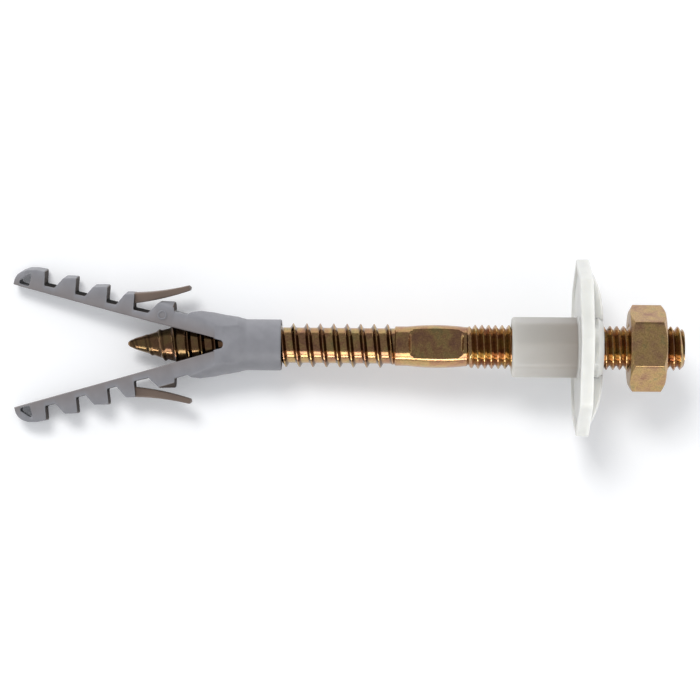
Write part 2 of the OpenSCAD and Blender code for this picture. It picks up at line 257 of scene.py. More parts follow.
def moulded_natural_polyamide():
    """Unfilled, slightly translucent nylon: a milky ivory that lets light bleed through thin walls."""
    cloud_mm = 6
    made, tree, shader = new_material("moulded_natural_polyamide")
    place = add_node(tree, "ShaderNodeTexCoord").outputs["Object"]
    cloud = add_node(
        tree,
        "ShaderNodeTexNoise",
        {"Vector": place, "Scale": 1 / (cloud_mm * MM), "Detail": 2.0},
    )
    body = colour_steps(tree, cloud.outputs["Fac"], [(0.3, "#c9c9c5"), (0.7, "#d2d2ce")])
    tone = add_node(tree, "ShaderNodeAttribute", attribute_name="tone").outputs["Fac"]
    # The tone attribute is 0.5 to 1 on the thin sleeve: beige grey where the steel inside shows through,
    # with painted shade that deepens towards the flange
    shown = add_node(
        tree,
        "ShaderNodeMix",
        {"Factor": tone, "A": body, "B": linear("#979088")},
        data_type="RGBA",
    )
    tree.links.new(shown.outputs["Result"], shader.inputs["Base Color"])
    shader.inputs["Roughness"].default_value = 0.34
    shader.inputs["IOR"].default_value = 1.53
    shader.inputs["Subsurface Weight"].default_value = 0.7
    shader.inputs["Subsurface Radius"].default_value = (1.0, 0.95, 0.85)
    shader.inputs["Subsurface Scale"].default_value = 3 * MM
    return made


def chromated_steel(name, base, rough):
    """Zinc-plated steel with a yellow chromate film: gold that drifts to copper, olive and pink."""
    film_mm = 3.2
    # The plating's real speckle is nearer 0.1 mm, too fine to show, so it is drawn coarser
    speckle_mm = 0.28
    made, tree, shader = new_material(name)
    place = add_node(tree, "ShaderNodeTexCoord").outputs["Object"]
    film = add_node(
        tree,
        "ShaderNodeTexNoise",
        {"Vector": place, "Scale": 1 / (film_mm * MM), "Detail": 5.0, "Roughness": 0.65},
    )
    gold = colour_steps(
        tree,
        film.outputs["Fac"],
        [(0.32, "#ac8068"), (0.45, base), (0.56, "#cba973"), (0.68, "#b09f70")],
    )
    speckle = add_node(
        tree,
        "ShaderNodeTexNoise",
        {"Vector": place, "Scale": 1 / (speckle_mm * MM), "Detail": 3.0},
    )
    grain = colour_steps(tree, speckle.outputs["Fac"], [(0.35, "#d6d2ce"), (0.65, "#ffffff")])
    grainy = add_node(
        tree,
        "ShaderNodeMix",
        {"Factor": 1.0, "A": gold, "B": grain},
        data_type="RGBA",
        blend_type="MULTIPLY",
    )
    tone = add_node(tree, "ShaderNodeAttribute", attribute_name="tone").outputs["Fac"]
    # The tone attribute paints shade in dark brown: on the wood thread's flanks, on the point inside the
    # plug and in the machine thread's roots
    shaded_steel = add_node(
        tree,
        "ShaderNodeMix",
        {"Factor": tone, "A": grainy.outputs["Result"], "B": linear("#57402f")},
        data_type="RGBA",
    )
    tree.links.new(shaded_steel.outputs["Result"], shader.inputs["Base Color"])
    bump = add_node(
        tree,
        "ShaderNodeBump",
        {"Height": speckle.outputs["Fac"], "Strength": 0.1, "Distance": 0.04 * MM},
    )
    tree.links.new(bump.outputs["Normal"], shader.inputs["Normal"])
    shader.inputs["Metallic"].default_value = 1.0
    shader.inputs["Roughness"].default_value = rough
    return made


grey_polyamide = moulded_grey_polyamide()
natural_polyamide = moulded_natural_polyamide()
stud_steel = chromated_steel("yellow_chromated_rolled_steel", "#c0946d", 0.17)
nut_steel = chromated_steel("yellow_chromated_pressed_steel", "#c09b74", 0.3)

# ---------------------------------------------------------------- stud

STUD_TIP = -34.3
WOOD_END = 25.2
SHANK_END = 41.2
STUD_END = 89.5
POINT_LEN = 12.3
CORE_R = 3.95
WOOD_R = 4.91
WOOD_PITCH = 3.0
WOOD_CREST = 2.56
RIDGE_BASE = 1.25
RIDGE_CREST = 0.16
# The ridge grows between these shares of the point's length, and fades out over a length at its end
RIDGE_GROWS = (0.22, 1.15)
RIDGE_FADE = 1.2
FLANK_HOLLOW = 1.1
SHANK_R = 4.4
SHOULDER_DROP = 0.2
BULGE_R = 4.78
BULGE_RUN = 0.3
FLAT_AF = 6.6
FLAT_LEN = 12.2
FLAT_MID = 34.4
FLAT_RUN = 1.4
FLAT_TURN = math.radians(10)
MACHINE_R = 4.92
MACHINE_PITCH = 1.5
MACHINE_DEPTH = 0.92
MACHINE_CREST = 41.6
# The thread's crest and root, as shares of its pitch from the crest's middle, and the root's rounding
CREST_EDGE = 1 / 16
ROOT_EDGE = 0.46
ROOT_ROUND = 0.06
ENTRY_DROP = 0.1
ENTRY_SLOPE = 0.45
END_CHAMFER = 0.9
# Shares of the point's length and of the core's radius there
POINT_SHARES = [(0, 0.07), (0.03, 0.17), (0.14, 0.33), (0.4, 0.57), (0.6, 0.78), (0.82, 0.95), (1, 1)]
# Where the rows of a sheet lie within a pitch, counted from the crest
WOOD_PLACES = [0, 0.03, 0.1, 0.17, 0.25, 0.33, 0.42, 0.5, 0.58, 0.67, 0.75, 0.83, 0.9, 0.97]
MACHINE_PLACES = [0, 0.06, 0.18, 0.3, 0.42, 0.5, 0.58, 0.7, 0.82, 0.94]
SHANK_ROWS = 90
SHANK_FROM = WOOD_END + 0.2
SHANK_TO = SHANK_END - 0.01
# Strength of the painted shade: on the ridge's flanks, inside the plug and in the machine thread's roots
FLANK_SHADE = 0.85
HIDDEN_SHADE = 0.55
ROOT_SHADE = 0.35
# The painted shade comes and goes at these distances from the ridge's crest, inside the plug between these
# x, and at these depths under the machine thread's crest
FLANK_COMES = (0.1, 0.22)
FLANK_GOES = (0.6, 0.78)
HIDDEN_TO = (-14, -11)
ROOT_COMES = (0.3, 0.9)


def stud_columns(count=72):
    """Angles round the stud, with the nearest ones moved onto the edges of the two wrench flats."""
    angles = np.linspace(0, 2 * math.pi, count + 1)
    edge = math.acos(FLAT_AF / 2 / BULGE_R)
    for place in (0.25, 0.75):
        for side in (-1, 1):
            target = 2 * math.pi * place - FLAT_TURN + side * edge
            angles[np.argmin(abs(angles - target))] = target
    return angles


STUD_ANGLES = stud_columns()


def from_crest(x, angle, crest, pitch):
    """Distance along the axis from the nearest crest of a right-hand helix, 0 to half a pitch."""
    turns = (x - crest) / pitch - angle / (2 * math.pi)
    return abs(turns - np.round(turns)) * pitch


def helix_rows(x0, x1, crest, pitch, places):
    """x of a sheet whose rows follow the helix and stop at the planes x0 and x1.

    Row k starts at crest + pitch (turn + place) and climbs by one pitch in a turn, so the next
    turn's row begins where it ends.
    """
    first = math.floor((x0 - crest) / pitch) - 1
    last = math.ceil((x1 - crest) / pitch) + 1
    starts = (np.arange(first, last)[:, None] + np.array(places)[None, :]).ravel()
    rows = crest + pitch * (starts[:, None] + STUD_ANGLES[None, :] / (2 * math.pi))
    return np.clip(rows, x0, x1)


def wood_radius(x, angle):
    """Core plus ridge. The ridge falls from its crest to its base with a hollow flank."""
    core = CORE_R * np.interp((x - STUD_TIP) / POINT_LEN, *np.transpose(POINT_SHARES))
    start, full = [STUD_TIP + share * POINT_LEN for share in RIDGE_GROWS]
    height = (WOOD_R - CORE_R) * ramp(x, start, full)
    height = height * fall(x, WOOD_END - RIDGE_FADE, WOOD_END)
    away = from_crest(x, angle, WOOD_CREST, WOOD_PITCH)
    flank = 1 - ramp(away, RIDGE_CREST / 2, RIDGE_BASE / 2)
    return core + height * flank**FLANK_HOLLOW


def machine_radius(x, angle):
    """Crest less a 60 degree V with a round root, cut down by the chamfers at both ends."""
    away = from_crest(x, angle, MACHINE_CREST, MACHINE_PITCH)
    v = ramp(away, MACHINE_PITCH * CREST_EDGE, MACHINE_PITCH * ROOT_EDGE)
    depth = MACHINE_DEPTH * (v - ROOT_ROUND * np.sin(np.pi * v) * v)
    entry = SHANK_R - ENTRY_DROP + (x - SHANK_END) * ENTRY_SLOPE
    exit_r = MACHINE_R - END_CHAMFER + (STUD_END - x)
    return np.minimum(np.minimum(MACHINE_R - depth, entry), exit_r)


def shank_radius(x, angle):
    """Plain bar with an arc-shaped swelling, cut by two flats that run out in arcs at both ends."""
    along = abs(x - FLAT_MID) / (FLAT_LEN / 2 + BULGE_RUN)
    bar = SHANK_R + (BULGE_R - SHANK_R) * np.clip(1 - along**2, 0, 1)
    past = np.clip(abs(x - FLAT_MID) - (FLAT_LEN / 2 - FLAT_RUN), 0, FLAT_RUN)
    flat = FLAT_AF / 2 + FLAT_RUN - np.sqrt(FLAT_RUN**2 - past**2)
    flat = np.where(abs(x - FLAT_MID) < FLAT_LEN / 2, flat, 2 * BULGE_R)
    return np.minimum(bar, flat / np.maximum(abs(np.sin(angle + FLAT_TURN)), 1e-3))


def wood_sheet(angles):
    """The point and the wood thread, with painted shade on the ridge's flanks and on the point inside the
    plug.
    """
    x = helix_rows(STUD_TIP, WOOD_END, WOOD_CREST, WOOD_PITCH, WOOD_PLACES)
    away = from_crest(x, angles, WOOD_CREST, WOOD_PITCH)
    # Painted shade: dark bands on the ridge's flanks, and the point darkened where the plug's legs shade it
    flank_shade = FLANK_SHADE * ramp(away, *FLANK_COMES) * fall(away, *FLANK_GOES)
    hidden_shade = HIDDEN_SHADE * fall(x, *HIDDEN_TO)
    return spun(x, wood_radius(x, angles), angles), np.maximum(flank_shade, hidden_shade)


def shank_sheet(angles):
    """The shank, from the face where the wood thread ends to the start of the machine thread."""
    rows = np.linspace(SHANK_FROM, SHANK_TO, SHANK_ROWS)
    x = np.concatenate([[WOOD_END, WOOD_END], rows, [SHANK_END]])[:, None]
    r = shank_radius(x, angles)
    r[0] = wood_radius(WOOD_END, STUD_ANGLES)
    r[1] = SHANK_R - SHOULDER_DROP
    r[-1] = machine_radius(SHANK_END, STUD_ANGLES)
    return spun(x, r, angles)


def machine_sheet(angles):
    """The machine thread, with painted shade in its roots."""
    x = helix_rows(SHANK_END, STUD_END, MACHINE_CREST, MACHINE_PITCH, MACHINE_PLACES)
    r = machine_radius(x, angles)
    return spun(x, r, angles), ROOT_SHADE * ramp(MACHINE_R - r, *ROOT_COMES)


def make_stud():
    """A point, a wood thread, a shank with two wrench flats and a machine thread, in one skin."""
    angles = STUD_ANGLES[None, :]
    none = np.zeros_like(angles)
    tip = np.concatenate(
        [spun(STUD_TIP, none, angles), spun(STUD_TIP, wood_radius(STUD_TIP, angles), angles)]
    )
    end = np.concatenate(
        [spun(STUD_END, machine_radius(STUD_END, angles), angles), spun(STUD_END, none, angles)]
    )
    stud = piece(
        "hanger_bolt",
        [tip, wood_sheet(angles), shank_sheet(angles), machine_sheet(angles), end],
        stud_steel,
        "stud",
        crease=30,
    )
    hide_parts("stud")


make_stud()

# ---------------------------------------------------------------- expansion plug

COLLAR_R = 5.695
PLUG_BORE_R = 5.045
COLLAR_LEN = 9.2
# Where the collar's wall ends over the legs' roots, and x and radius of its cone up to the mouth
COLLAR_REACH = -14.9
COLLAR_CONE = [(COLLAR_REACH, 4.9), (-12.5, 5.35), (-COLLAR_LEN, COLLAR_R), (0, COLLAR_R)]
# The blend between collar and legs widens from the reach to BLEND_FULL, and ends where the collar is round
BLEND_LEAST = 0.15
BLEND_MORE = 0.9
BLEND_FULL = -11.5
ROUND_FROM = (-COLLAR_LEN - 0.5, -COLLAR_LEN + 1.5)
MOUTH_EDGE = 0.3
SLOT_ROOT = 12.8
SLOT_W = 1.9
SPLAYS = {1: math.radians(14.75), -1: math.radians(16.15)}
LEG_START = -3.4
LEG_LEN = 48.5
LEG_R = 6.4
LEG_STEP = 0.13
PILOT_R = 2.5
PILOT_END = 43.3
PILOT_RUN = 2.5
# Leg outline from the slot's root to the tip: place along the leg, height over its inner face
LEG_LINE = np.array(
    [
        (LEG_START, 5.45), (3.7, 5.42), (6.85, 4.95), (8.6, 4.2), (9.3, 3.4), (12.3, 3.4), (12.75, 5.45),
        (16.1, 4.55), (17.8, 1.75), (21.25, 1.6), (21.75, 5.12), (23.9, 4.55), (25.2, 1.7),
        (27.45, 1.6), (27.95, 5.1), (31.15, 4.2), (32.35, 1.7), (34.65, 1.6), (35.15, 5.1),
        (38.0, 4.4), (39.4, 1.7), (41.75, 1.6), (42.3, 4.7), (44.5, 4.5), (46.3, 4.02),
        (47.5, 3.2), (48.3, 2.3), (LEG_LEN, 1.2),
    ]
)
# Place along the leg and half width there
LEG_WIDTHS = np.array(
    [
        (LEG_START, 4.4), (0, 5.2), (2.5, 5.2), (12, 3.8), (16.1, 3.8), (21.7, 3.0), (46.7, 3.0),
        (LEG_LEN, 2.6),
    ]
)
OUTLINE_ROUND = 0.17
LEAST_HEIGHT = 0.2
EDGE_ROUND = 0.3
ROLL_ANGLES = [30, 60, 90]
# The edge cut along the inner face grows between these places along the leg
EDGE_CUT = 0.22
CUT_GROWS = (3, 8)
TOP_COLUMNS = 11
INNER_COLUMNS = 14
BARB_ROOT = 21.7
BARB_LEN = 12.8
BARB_BURIED = 0.06
BARB_W = 3.4
BARB_T = (2.3, 1.2)
BARB_TOP = 5.1
BARB_SLOPES = (19, 32)
# Share of the tongue where its tip starts to round, and what is left of its width and thickness there
BARB_ROUND = 0.955
TIP_WIDTH = 0.3
TIP_THICK = 0.15
OBLONG_POWER = 8
MARK_AT = (14.6, 2.1)
MARK_R = 0.9
MARK_BEAD = 0.16
MARK_SIDE = 3.8
EYE_CORNERS = np.array([(46.85, 1.0), (45.45, 2.6), (45.45, 0.95)])
EYE_R = 0.42
EYE_FLARE = 1.7
EYE_SIDE = 4.5
# On the upper leg, the edge towards -Z stands a little further out than the one towards +Z
UPPER_TWIST = math.radians(8)
TWIST_RUN = (4, 24)
# Tone of the skin: painted shade on the steep tooth faces and the lower leg's heel, then the cut inner edges
# and the tongues
STEEP_SHADE = 0.8
HEEL_SHADE = 0.85
EDGE_TONE = 0.2
TONGUE_TONE = 0.5
# The tones grow or fade between these slopes of the outline, heights and places along the leg
STEEP_SLOPES = (1.0, 2.5)
NOTCH_HEIGHTS = (2.0, 2.6)
NOTCHES_FROM = (16.5, 18)
HEEL_FROM = (12.0, 12.3)
HEEL_TO = (16.5, 17.2)


def on_leg(u, v, w, side, twist):
    """Points u along a leg, v over its inner face and w across it, turned about the leg by twist."""
    u, v, w = np.broadcast_arrays(u, v, w)
    a = twist * ramp(u, *TWIST_RUN)
    v, w = v * np.cos(a) - w * np.sin(a), v * np.sin(a) + w * np.cos(a)
    x = -SLOT_ROOT - u * math.cos(SPLAYS[side]) + v * math.sin(SPLAYS[side])
    y = SLOT_W / 2 + u * math.sin(SPLAYS[side]) + v * math.cos(SPLAYS[side])
    return np.stack([x, side * y, w], axis=-1)


def leg_height(u):
    """The outline's height, averaged over a short stretch so that its edges are slightly round."""
    shifts = np.linspace(-OUTLINE_ROUND, OUTLINE_ROUND, 5)
    return np.mean([np.interp(u + shift, *LEG_LINE.T) for shift in shifts], axis=0)


def leg_section(u, side):
    """Half of a leg's section at u, from the top's middle to the inner face's: places across, heights.

    The outer skin is the lower of the outline and a bar of radius LEG_R, rolled down at its edges.
    The inner skin is flat, with the pilot groove, and hollowed near the root by the stud's bore.
    """
    half = np.interp(u, *LEG_WIDTHS.T)
    flat_share = np.linspace(0, 1, TOP_COLUMNS)[None, :]
    roll = np.radians(ROLL_ANGLES)[None, :]
    edge = half - EDGE_ROUND + EDGE_ROUND * np.sin(roll)
    over = np.concatenate([(half - EDGE_ROUND) * flat_share, edge], axis=1)
    drop = np.concatenate([0 * flat_share, EDGE_ROUND * (1 - np.cos(roll))], axis=1)
    bar = np.sqrt(np.maximum(LEG_R**2 - over**2, 0)) - SLOT_W / 2
    over_v = np.maximum(np.minimum(leg_height(u), bar) - drop, LEAST_HEIGHT)
    cut = EDGE_CUT * ramp(u, *CUT_GROWS)
    under = np.concatenate([half, (half - cut) * np.linspace(1, 0, INNER_COLUMNS)[None, :]], axis=1)
    end = fall(u, PILOT_END - PILOT_RUN, PILOT_END)
    groove_r = PILOT_R * np.sqrt(np.clip(1 - (1 - end) ** 2, 0, 1))
    groove = np.sqrt(np.maximum(groove_r**2 - under**2, 0)) - SLOT_W / 2 * (groove_r / PILOT_R)
    bore = np.sqrt(np.maximum(PLUG_BORE_R**2 - under**2, 0)) - SLOT_W / 2 - u * math.sin(SPLAYS[side])
    under_v = np.maximum(np.maximum(groove, bore / math.cos(SPLAYS[side])), 0)
    under_v[:, :1] += cut
    return np.concatenate([over, under], axis=1), np.concatenate([over_v, under_v], axis=1)


def leg_tone(u, side, columns):
    """Tone of a leg's skin: painted shade on the steep faces, the notch floors and the lower leg's heel
    outside, and a hint on the cut edges.
    """
    outside = np.zeros(columns)
    outside[:TOP_COLUMNS] = outside[-TOP_COLUMNS - 1 :] = 1
    cut_edge = np.zeros(columns)
    first_cut = TOP_COLUMNS + len(ROLL_ANGLES)
    cut_edge[first_cut : first_cut + 2] = cut_edge[-first_cut - 3 : -first_cut - 1] = EDGE_TONE
    height = leg_height(u)
    # Painted shade on the steep faces, the notch floors and the lower leg's heel
    steep_shade = STEEP_SHADE * ramp(np.gradient(height, u[:, 0], axis=0), *STEEP_SLOPES)
    notch_shade = fall(height, *NOTCH_HEIGHTS) * ramp(u, *NOTCHES_FROM)
    heel_shade = HEEL_SHADE * ramp(u, *HEEL_FROM) * fall(u, *HEEL_TO) if side < 0 else 0 * u
    tone = np.maximum(np.maximum(steep_shade, notch_shade), heel_shade) * outside + cut_edge
    return np.concatenate([tone[:1], tone, tone[-1:]])


def leg_sheet(side, twist):
    """One leg: its section, mirrored into a loop and carried along it from root to tip."""
    u = np.unique(np.concatenate([np.arange(LEG_START, LEG_LEN, LEG_STEP), LEG_LINE[:, 0]]))[:, None]
    cross, height = leg_section(u, side)
    cross = np.concatenate([cross, -cross[:, ::-1]], axis=1)
    height = np.concatenate([height, height[:, ::-1]], axis=1)
    loop = on_leg(u, height, cross, side, twist)
    loop = np.concatenate([loop, loop[:, :1]], axis=1)
    return capped(loop), leg_tone(u, side, loop.shape[1])


def barb_sheet(side, twist):
    """A locking tongue: a rounded oblong carried along an arc whose slope grows from root to tip.

    The oblong's edge is |y|^p + |z|^p = 1, and its sides draw in along a quarter circle at the tip.
    """
    s = np.linspace(-BARB_BURIED, 1, 40)[:, None]
    slope = np.radians(BARB_SLOPES[0] + (BARB_SLOPES[1] - BARB_SLOPES[0]) * s)
    half_slope = np.radians(BARB_SLOPES[0] + (BARB_SLOPES[1] - BARB_SLOPES[0]) * s / 2)
    thick = BARB_T[0] + (BARB_T[1] - BARB_T[0]) * s
    end_round = np.sqrt(np.clip(1 - ramp(s, BARB_ROUND, 1.0) ** 2, 0.0, 1))
    a = np.linspace(0, 2 * math.pi, 49)[None, :]
    oblong = (np.abs(np.cos(a)) ** OBLONG_POWER + np.abs(np.sin(a)) ** OBLONG_POWER) ** (-1 / OBLONG_POWER)
    across = BARB_W / 2 * oblong * np.cos(a) * (TIP_WIDTH + (1 - TIP_WIDTH) * end_round)
    through = thick / 2 * oblong * np.sin(a) * (TIP_THICK + (1 - TIP_THICK) * end_round)
    along = s * BARB_LEN
    u = BARB_ROOT - along * np.cos(half_slope) + through * np.sin(slope)
    v = BARB_TOP - BARB_T[0] / 2 + along * np.sin(half_slope) + through * np.cos(slope)
    grid = capped(on_leg(u, v, across, side, twist))
    return grid, np.full(grid.shape[:2], TONGUE_TONE)


def mark_sheet(side, twist, face):
    """A raised ring mark on a leg's side flat: a small round bead carried round a circle."""
    round_a = np.linspace(0, 2 * math.pi, 33)[:, None]
    bead_a = np.linspace(0, 2 * math.pi, 11)[None, :]
    r = MARK_R + MARK_BEAD * np.cos(bead_a)
    return on_leg(
        MARK_AT[0] + r * np.cos(round_a),
        MARK_AT[1] + r * np.sin(round_a),
        face * (MARK_SIDE + MARK_BEAD * np.sin(bead_a)),
        side,
        twist,
    )


def leg_reach(x, angle):
    """Distance from the axis to a leg's outer skin, along a ray at x and an angle.

    The leg's bar is a leaning cylinder, so its section at x is an ellipse, and r solves
    ((r cos a - y) cos s)^2 + (r sin a)^2 = R^2. The leg's side flats cut it off at their width.
    """
    s = np.where(np.cos(angle) > 0, SPLAYS[1], SPLAYS[-1])
    cos_a, sin_a = abs(np.cos(angle)), abs(np.sin(angle))
    u = -(x + SLOT_ROOT + SLOT_W / 2 * np.sin(s)) / np.cos(s)
    mid = SLOT_W / 2 + u * np.sin(s) - SLOT_W / 2 * np.cos(s)
    a = (cos_a * np.cos(s)) ** 2 + sin_a**2
    b = -2 * mid * cos_a * np.cos(s) ** 2
    c = (mid * np.cos(s)) ** 2 - LEG_R**2
    bar = (-b + np.sqrt(np.maximum(b**2 - 4 * a * c, 0))) / (2 * a)
    return np.minimum(bar, np.interp(u, *LEG_WIDTHS.T) / np.maximum(sin_a, 0.05))


def collar_sheet():
    """The collar, whose wall runs out over the roots of the legs with a smooth blend.

    Outside, r is the smooth maximum (a + b + sqrt((a - b)^2 + k^2)) / 2 of the collar's cone and the
    leg's skin. The end follows the slot: its round root at height |y| < w/2, then its straight sides.
    """
    angles = np.linspace(0, 2 * math.pi, 241)[None, :]
    slot_mid = -SLOT_ROOT - SLOT_W / 2
    high = abs(PLUG_BORE_R * np.cos(angles))
    root = slot_mid + np.sqrt(np.maximum((SLOT_W / 2) ** 2 - high**2, 0))
    slope = np.tan(np.where(np.cos(angles) > 0, SPLAYS[1], SPLAYS[-1]))
    straight = slot_mid - (high - SLOT_W / 2) / slope
    end = np.maximum(np.where(high < SLOT_W / 2, root, straight), COLLAR_REACH)
    t = np.linspace(0, 1, 60)[:, None]
    x = (end + EDGE_CUT) * (1 - t) - MOUTH_EDGE * t
    cone = np.interp(x, *np.transpose(COLLAR_CONE))
    blend = BLEND_LEAST + BLEND_MORE * ramp(x, COLLAR_REACH, BLEND_FULL)
    skin = leg_reach(x, angles)
    outer = (cone + skin + np.sqrt((cone - skin) ** 2 + blend**2)) / 2
    fade = ramp(x, *ROUND_FROM)
    outer = outer * (1 - fade) + COLLAR_R * fade
    ones = np.ones_like(angles)
    middle = EDGE_MIDDLE * MOUTH_EDGE
    mouth = [(-middle, COLLAR_R - middle), (0, COLLAR_R - MOUTH_EDGE), (0, PLUG_BORE_R)]
    rows = [
        spun(end, PLUG_BORE_R, angles),
        spun(end, outer[:1] - EDGE_CUT, angles),
        spun(x, outer, angles),
        *[spun(place, r * ones, angles) for place, r in mouth],
        spun(end, PLUG_BORE_R, angles),
    ]
    return np.concatenate(rows)


def eye_cutter(side, twist):
    """A prism through the nose: a triangle whose corners are rounded by carrying a disc round it.

    The disc is wider where the prism leaves the leg's far side.
    """
    a = np.linspace(0, 2 * math.pi, 61)
    ways = np.stack([np.cos(a), np.sin(a)], axis=-1)
    nearest = EYE_CORNERS[np.argmax(ways @ EYE_CORNERS.T, axis=1)]
    near, far = nearest + EYE_R * ways, nearest + EYE_FLARE * EYE_R * ways
    near[-1], far[-1] = near[0], far[0]
    middle = np.broadcast_to(EYE_CORNERS.mean(axis=0), near.shape)
    w = EYE_SIDE * np.array([-1, -1, 1, 1])[:, None]
    uv = np.stack([middle, far, near, middle])
    return on_leg(uv[..., 0], uv[..., 1], w, side, twist)


def cut_out(target, sheet):
    """Takes a closed sheet's volume out of a piece, for good."""
    tool = bpy.data.objects.new("cutting_tool", skin_mesh("cutting_tool", [sheet], crease=30))
    bpy.context.scene.collection.objects.link(tool)
    cut = target.modifiers.new("cut_out", "BOOLEAN")
    cut.operation = "DIFFERENCE"
    cut.solver = "EXACT"
    cut.object = tool
    shaped = target.evaluated_get(bpy.context.evaluated_depsgraph_get())
    target.data = bpy.data.meshes.new_from_object(shaped)
    target.modifiers.clear()
    bpy.data.objects.remove(tool)


def make_plug():
    """The collar, two splayed legs with their tongues, and the ring marks on the legs' sides."""
    collar = piece("plug_collar", [collar_sheet()], grey_polyamide, "plug")
    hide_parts("expansion_plug")
    for name, side, twist in (("upper", 1, UPPER_TWIST), ("lower", -1, 0.0)):
        marks = [mark_sheet(side, twist, face) for face in (-1, 1)]
        sheets = [leg_sheet(side, twist), *marks]
        leg = piece(name + "_leg", sheets, grey_polyamide, "plug", crease=28)
        cut_out(leg, eye_cutter(side, twist))
        piece(name + "_tongue", [barb_sheet(side, twist)], grey_polyamide, "plug")


make_plug()

# ---------------------------------------------------------------- flange bush

BUSH_BORE_R = 5.2
SLEEVE_R = 6.95
SLEEVE_START = 51.2
FLANGE_FRONT = 65.6
FLANGE_BACK = 68.5
FLANGE_R = 20.0
RIM_WALL = 1.6
DISH = 0.5
HUB_R = 7.505
HUB_END = 71.5
WING_T = 3.2
WING_REACH = 17.6
WING_FOOT = HUB_R - 1.5
WING_BITE = 0.5
WING_EDGE = 0.35
WING_EDGE_GROWS = (0.5, 1.2)
WING_LEAST = 0.05
WING_FALL = 2.4
# Radii of the bush's round edges and fillets
BORE_EDGE = 0.3
SLEEVE_EDGE = 0.7
SLEEVE_FILLET = 0.5
DISH_FILLET = 0.4
RIM_INNER_EDGE = 0.15
RIM_EDGE = 0.3
BACK_EDGE = 0.4
HUB_FILLET = 0.3
HUB_MOUTH = 0.2
# How far the hub's hexagon ends below its top, how much it tapers, and its dome's distances from the top
# and from the corner radius
HUB_DOME_DEPTH = 2.0
HUB_TAPER = 0.1
HUB_DOME = [(1.1, 0.65), (0.1, 1.45), (0, 1.6)]
# Outlines round the axis: number of sides, turn in degrees and sharpness of the corners
OCTAGON_TURN = -5
RING = (0, 0, 70)
SLEEVE = (8, OCTAGON_TURN, 26)
FLANGE = (8, OCTAGON_TURN, 70)
HUB = (6, 0, 50)


def polygon_share(angle, sides, turn, sharpness):
    """Radius of a polygon with slightly round corners, as a share of its corner radius.

    The faces' distances are joined by a p-norm: r = cos(half) / (sum of cos^p)^(1/p).
    """
    if sides == 0:
        return np.ones_like(angle)
    half = math.pi / sides
    faces = np.arange(sides) * 2 * half + half + math.radians(turn)
    reach = np.clip(np.cos(angle[..., None] - faces), 0, None) ** sharpness
    return math.cos(half) / reach.sum(axis=-1) ** (1 / sharpness)


def polygon_rows(profile, angles):
    """Carries a profile of (x, corner radius, *outline) round the axis, one row for each point."""
    rows = [spun(x, r * polygon_share(angles, *outline), angles) for x, r, *outline in profile]
    return np.stack(rows)


def bush_profile():
    """The bush's closed profile: up the sleeve, out over the dished flange, down the hub and its bore."""
    rim = FLANGE_R - RIM_WALL
    floor = FLANGE_FRONT + DISH
    edge_middle, back_middle = EDGE_MIDDLE * RIM_EDGE, EDGE_MIDDLE * BACK_EDGE
    sleeve_edge = [
        (SLEEVE_START + SLEEVE_EDGE * (1 - math.cos(a)), SLEEVE_R - SLEEVE_EDGE * (1 - math.sin(a)), *SLEEVE)
        for a in np.radians([0, 22, 45, 67, 90])
    ]
    points = [
        (SLEEVE_START + BORE_EDGE, BUSH_BORE_R, *RING),
        (SLEEVE_START, BUSH_BORE_R + BORE_EDGE, *RING),
        *sleeve_edge,
        (floor - SLEEVE_FILLET, SLEEVE_R, *SLEEVE),
        (floor, SLEEVE_R + SLEEVE_FILLET, *SLEEVE),
        (floor, rim - DISH_FILLET, *FLANGE),
        (floor - DISH_FILLET, rim, *FLANGE),
        (FLANGE_FRONT + RIM_INNER_EDGE, rim, *FLANGE),
        (FLANGE_FRONT, rim + RIM_INNER_EDGE, *FLANGE),
        (FLANGE_FRONT, FLANGE_R - RIM_EDGE, *FLANGE),
        (FLANGE_FRONT + edge_middle, FLANGE_R - edge_middle, *FLANGE),
        (FLANGE_FRONT + RIM_EDGE, FLANGE_R, *FLANGE),
        (FLANGE_BACK - BACK_EDGE, FLANGE_R, *FLANGE),
        (FLANGE_BACK - back_middle, FLANGE_R - back_middle, *FLANGE),
        (FLANGE_BACK, FLANGE_R - BACK_EDGE, *FLANGE),
        (FLANGE_BACK, HUB_R + HUB_FILLET, *HUB),
        (FLANGE_BACK + HUB_FILLET, HUB_R, *HUB),
        (HUB_END - HUB_DOME_DEPTH, HUB_R - HUB_TAPER, *HUB),
        *[(HUB_END - down, HUB_R - inward, *RING) for down, inward in HUB_DOME],
        (HUB_END, BUSH_BORE_R + HUB_MOUTH, *RING),
        (HUB_END - HUB_MOUTH, BUSH_BORE_R, *RING),
    ]
    return [*points, points[0]]


def make_bush():
    """An octagonal sleeve, a dished octagonal flange, a hexagonal hub and two gusset wings."""
    profile = bush_profile()
    loop = polygon_rows(profile, np.radians(np.arange(0, 361, 1.0)))
    x, r = np.array([row[:2] for row in profile]).T
    # The sleeve's tone grows towards the flange: painted shade over the beige grey of the steel showing
    # through
    shown = np.interp(x, [SLEEVE_START, FLANGE_FRONT, FLANGE_FRONT + DISH], [0.5, 1, 0])
    steel_and_shade_tone = (r < SLEEVE_R + 0.1) * shown
    bush = piece(
        "flanged_bush",
        [(loop, steel_and_shade_tone[:, None])],
        natural_polyamide,
        "bush",
        crease=28,
    )
    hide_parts("flange_bush")
    for name, side in (("upper", 1), ("lower", -1)):
        piece(name + "_wing", [wing_sheet(side)], natural_polyamide, "bush")


